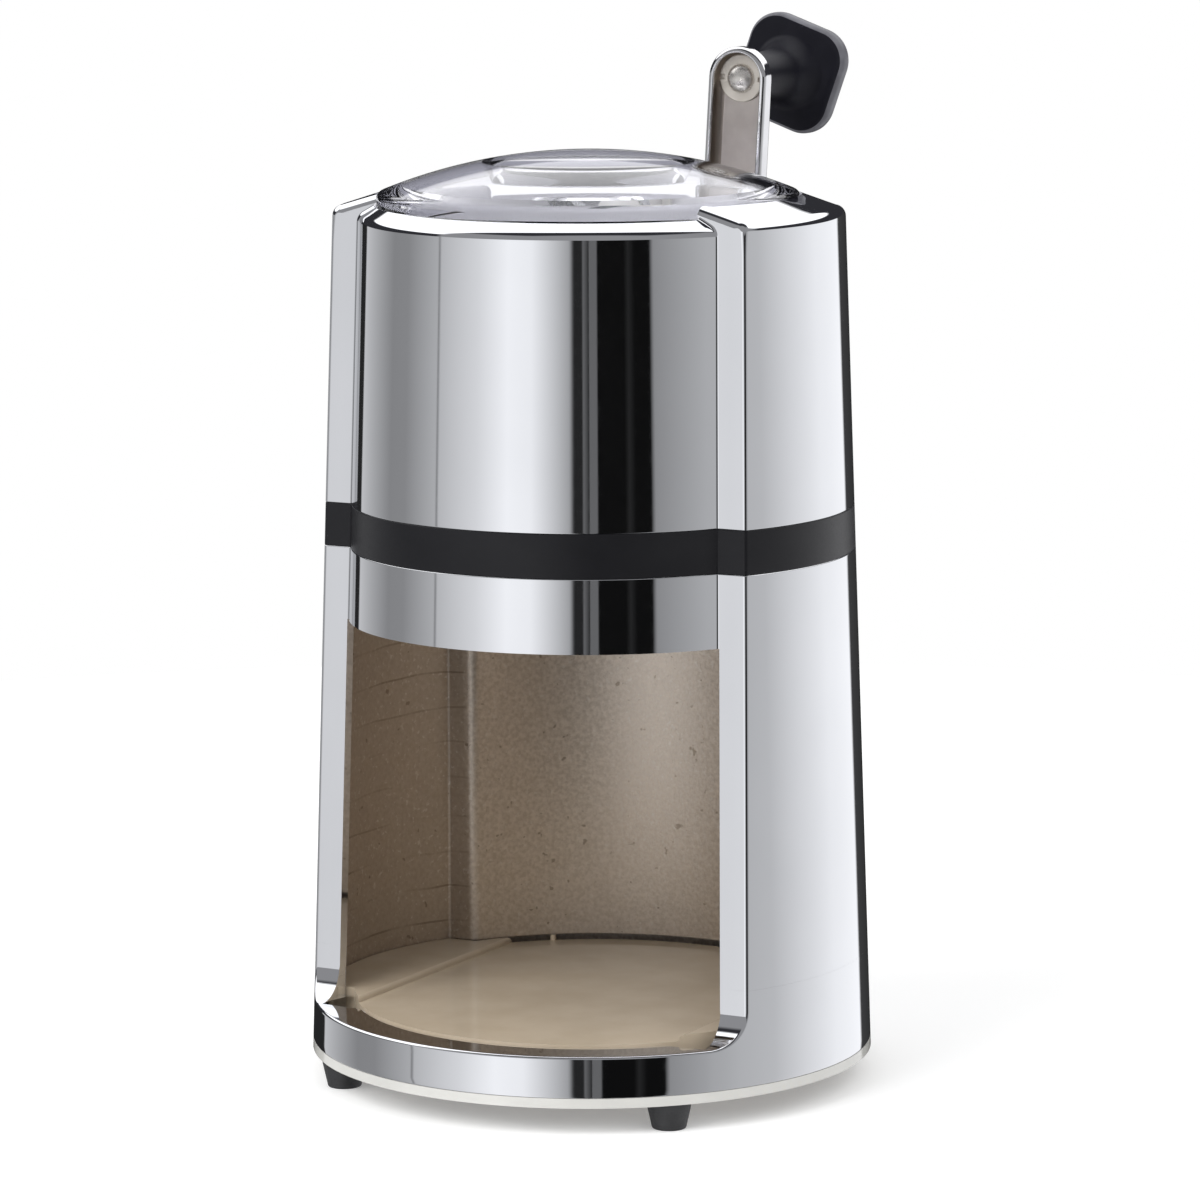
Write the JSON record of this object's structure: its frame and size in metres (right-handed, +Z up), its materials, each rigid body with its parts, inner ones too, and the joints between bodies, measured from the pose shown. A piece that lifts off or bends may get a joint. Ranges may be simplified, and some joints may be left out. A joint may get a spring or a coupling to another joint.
{
  "type": "hand-cranked ice crusher",
  "caption": "Ice crusher with a chrome body on rubber feet, open bay, black joint band, clear domed lid and a crank with a knob that turns a toothed rotor.",
  "frame": {"origin": "on the body's vertical axis, in the plane that the four feet stand on", "axes": "+Z up along the body's axis, -Y through the open bay at the front, +Y towards the crank at the back"},
  "size_m": [0.1344, 0.1708, 0.2495],
  "materials": {
    "chrome_body": "mirror chrome plating, duller inside the bay",
    "chrome_trim": "polished",
    "arm_nickel": "satin nickel",
    "black_trim": "satin black",
    "cream_plastic": "glossy cream",
    "white_plastic": "glossy off-white",
    "clear_plastic": "clear, polished",
    "knob_plastic": "satin to glossy black",
    "foot_rubber": "matt dark grey",
    "blade_steel": "ground stainless",
    "screw_steel": "zinc plated",
    "bush_plastic": "natural acetal"
  },
  "bodies": {
    "frame": {"lower_housing": "chrome_body", "upper_housing": "chrome_body", "joint_band": "black_trim", "base_plate": "cream_plastic", "foot_front_left": "foot_rubber", "foot_front_right": "foot_rubber", "foot_back_left": "foot_rubber", "foot_back_right": "foot_rubber", "foot_screws": "screw_steel", "joint_screws": "screw_steel", "hopper": "white_plastic", "stator_comb_left": "blade_steel", "stator_comb_right": "blade_steel", "comb_screws": "screw_steel", "front_bush": "bush_plastic", "rear_bush": "bush_plastic", "rear_escutcheon": "chrome_trim"},
    "crank": {"crusher_shaft": "blade_steel", "rotor_blade_1": "blade_steel", "rotor_blade_2": "blade_steel", "rotor_blade_3": "blade_steel", "rotor_blade_4": "blade_steel", "blade_spacers": "bush_plastic", "shaft_circlip": "screw_steel", "crank_hub": "chrome_trim", "crank_arm": "arm_nickel", "crank_washer": "chrome_trim", "crank_nut": "chrome_trim", "knob_rivet": "chrome_trim", "knob_washer": "arm_nickel"},
    "knob": {"knob": "knob_plastic", "knob_cap": "knob_plastic"},
    "lid": {"lid": "clear_plastic"}
  },
  "joints": [
    {"name": "crank_turn", "type": "hinge", "parent": "frame", "child": "crank", "pos_m": [0, 0, 0.168], "axis": [0, 1, 0], "continuous": true},
    {"name": "knob_spin", "type": "hinge", "parent": "crank", "child": "knob", "pos_m": [0.00394, 0.087, 0.23438], "axis": [0, 1, 0], "continuous": true},
    {"name": "lid_lift", "type": "slide", "parent": "frame", "child": "lid", "axis": [0, 0, 1], "range_m": [0, 0.04]}
  ]
}
